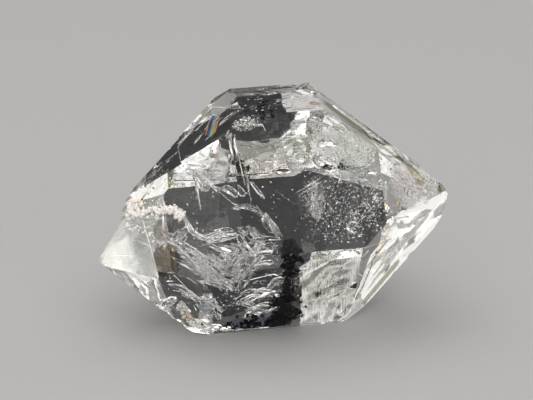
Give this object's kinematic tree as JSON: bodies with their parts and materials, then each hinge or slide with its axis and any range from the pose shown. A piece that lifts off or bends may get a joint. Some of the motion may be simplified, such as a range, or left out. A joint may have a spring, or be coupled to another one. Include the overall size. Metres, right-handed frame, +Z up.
{
  "type": "double-terminated quartz crystal",
  "caption": "Clear, stubby quartz crystal with a point at each end, etched and chipped, with black carbon sealed in it; it lies on one side face.",
  "frame": {"origin": "on the resting side face, straight below the crystal's long axis, midway between the foot of the front and back side faces", "axes": "+X along the long axis towards the right tip, +Y to the back, +Z up from the resting face"},
  "size_m": [0.032, 0.0207, 0.0208],
  "materials": {
    "clear_quartz": "glossy, clear, with etched and frosted patches",
    "black_carbon": "glossy black, brittle, coal-like"
  },
  "bodies": {
    "root": {"quartz_crystal": "clear_quartz", "anthraxolite_inclusion": "black_carbon"}
  },
  "joints": []
}
